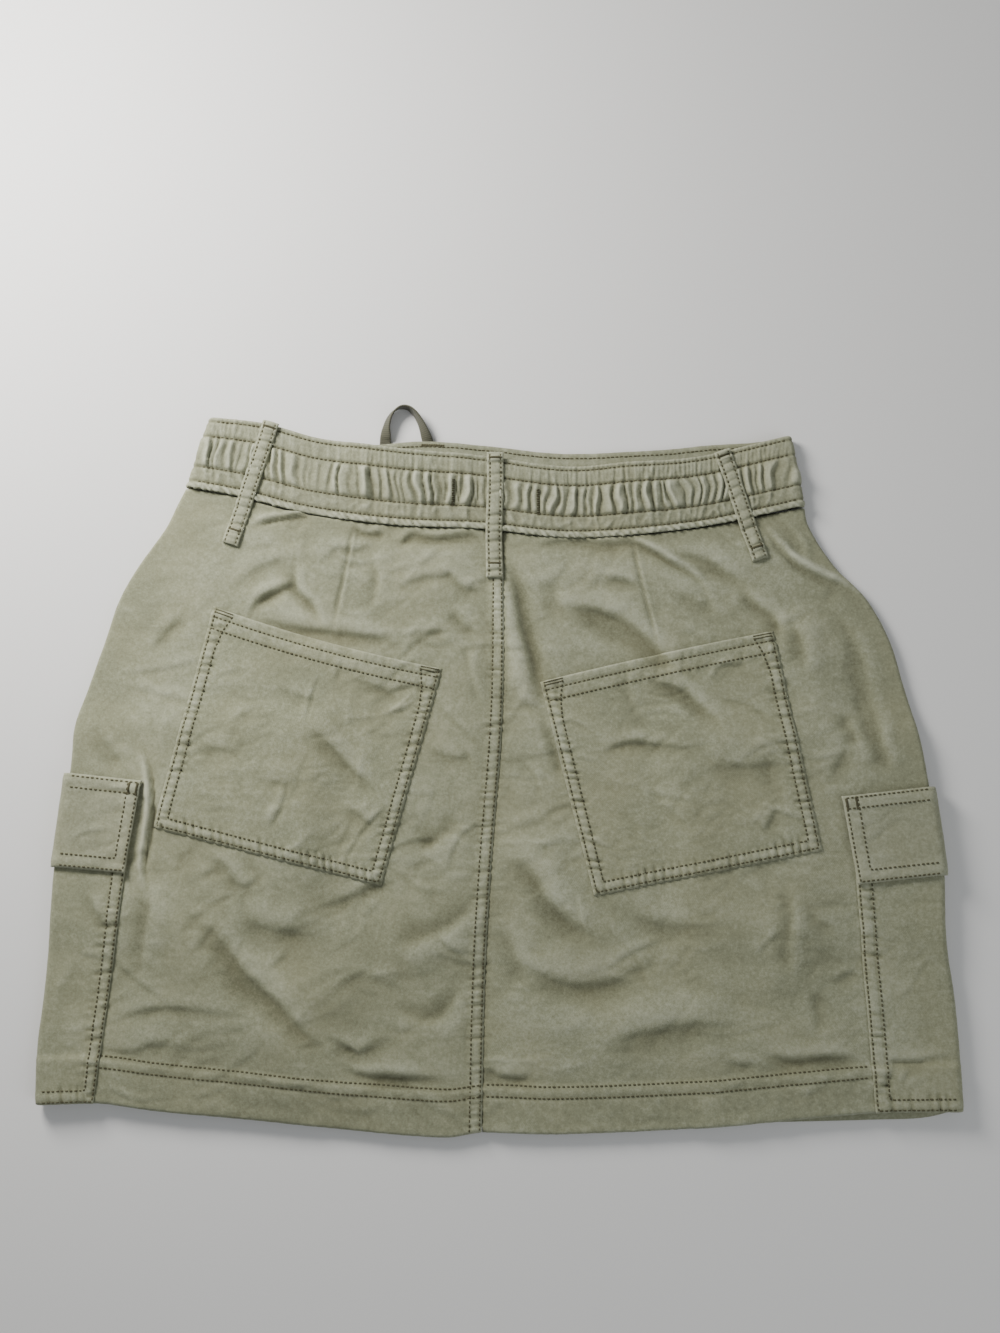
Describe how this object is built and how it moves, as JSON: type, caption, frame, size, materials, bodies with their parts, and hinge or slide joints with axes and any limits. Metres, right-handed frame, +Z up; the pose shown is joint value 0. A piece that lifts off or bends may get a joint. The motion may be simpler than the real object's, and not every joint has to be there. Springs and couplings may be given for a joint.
{
  "type": "cargo utility skirt",
  "caption": "Short A-line cargo skirt in olive twill laid flat with its back up: elastic waistband, belt loops, patch pockets and flap cargo pockets wrapped round the sides.",
  "frame": {"origin": "on the surface that the garment lies on, below the middle of its box without the drawstring", "axes": "+Z up out of the surface, +Y from hem to waist, +X from the wearer's left side to the right side, seen from behind"},
  "size_m": [0.5438, 0.4381, 0.0122],
  "materials": {
    "twill": "matte garment-washed cotton twill",
    "waistband": "matte cotton twill gathered over elastic",
    "trim": "matte cotton twill, folded, faded on its edges",
    "pocket": "matte garment-washed cotton twill",
    "thread": "matte cotton sewing thread, a little darker than the cloth",
    "tape": "matte woven cotton tape"
  },
  "bodies": {
    "root": {"front_panel": "twill", "back_panel_left": "twill", "back_panel_right": "twill", "waistband_front": "waistband", "waistband_back": "waistband", "belt_loop_left": "trim", "belt_loop_centre": "trim", "belt_loop_right": "trim", "back_pocket_left": "pocket", "back_pocket_right": "pocket", "cargo_pocket_left": "pocket", "cargo_pocket_right": "pocket", "cargo_flap_left": "trim", "cargo_flap_right": "trim", "drawstring": "tape"}
  },
  "joints": []
}
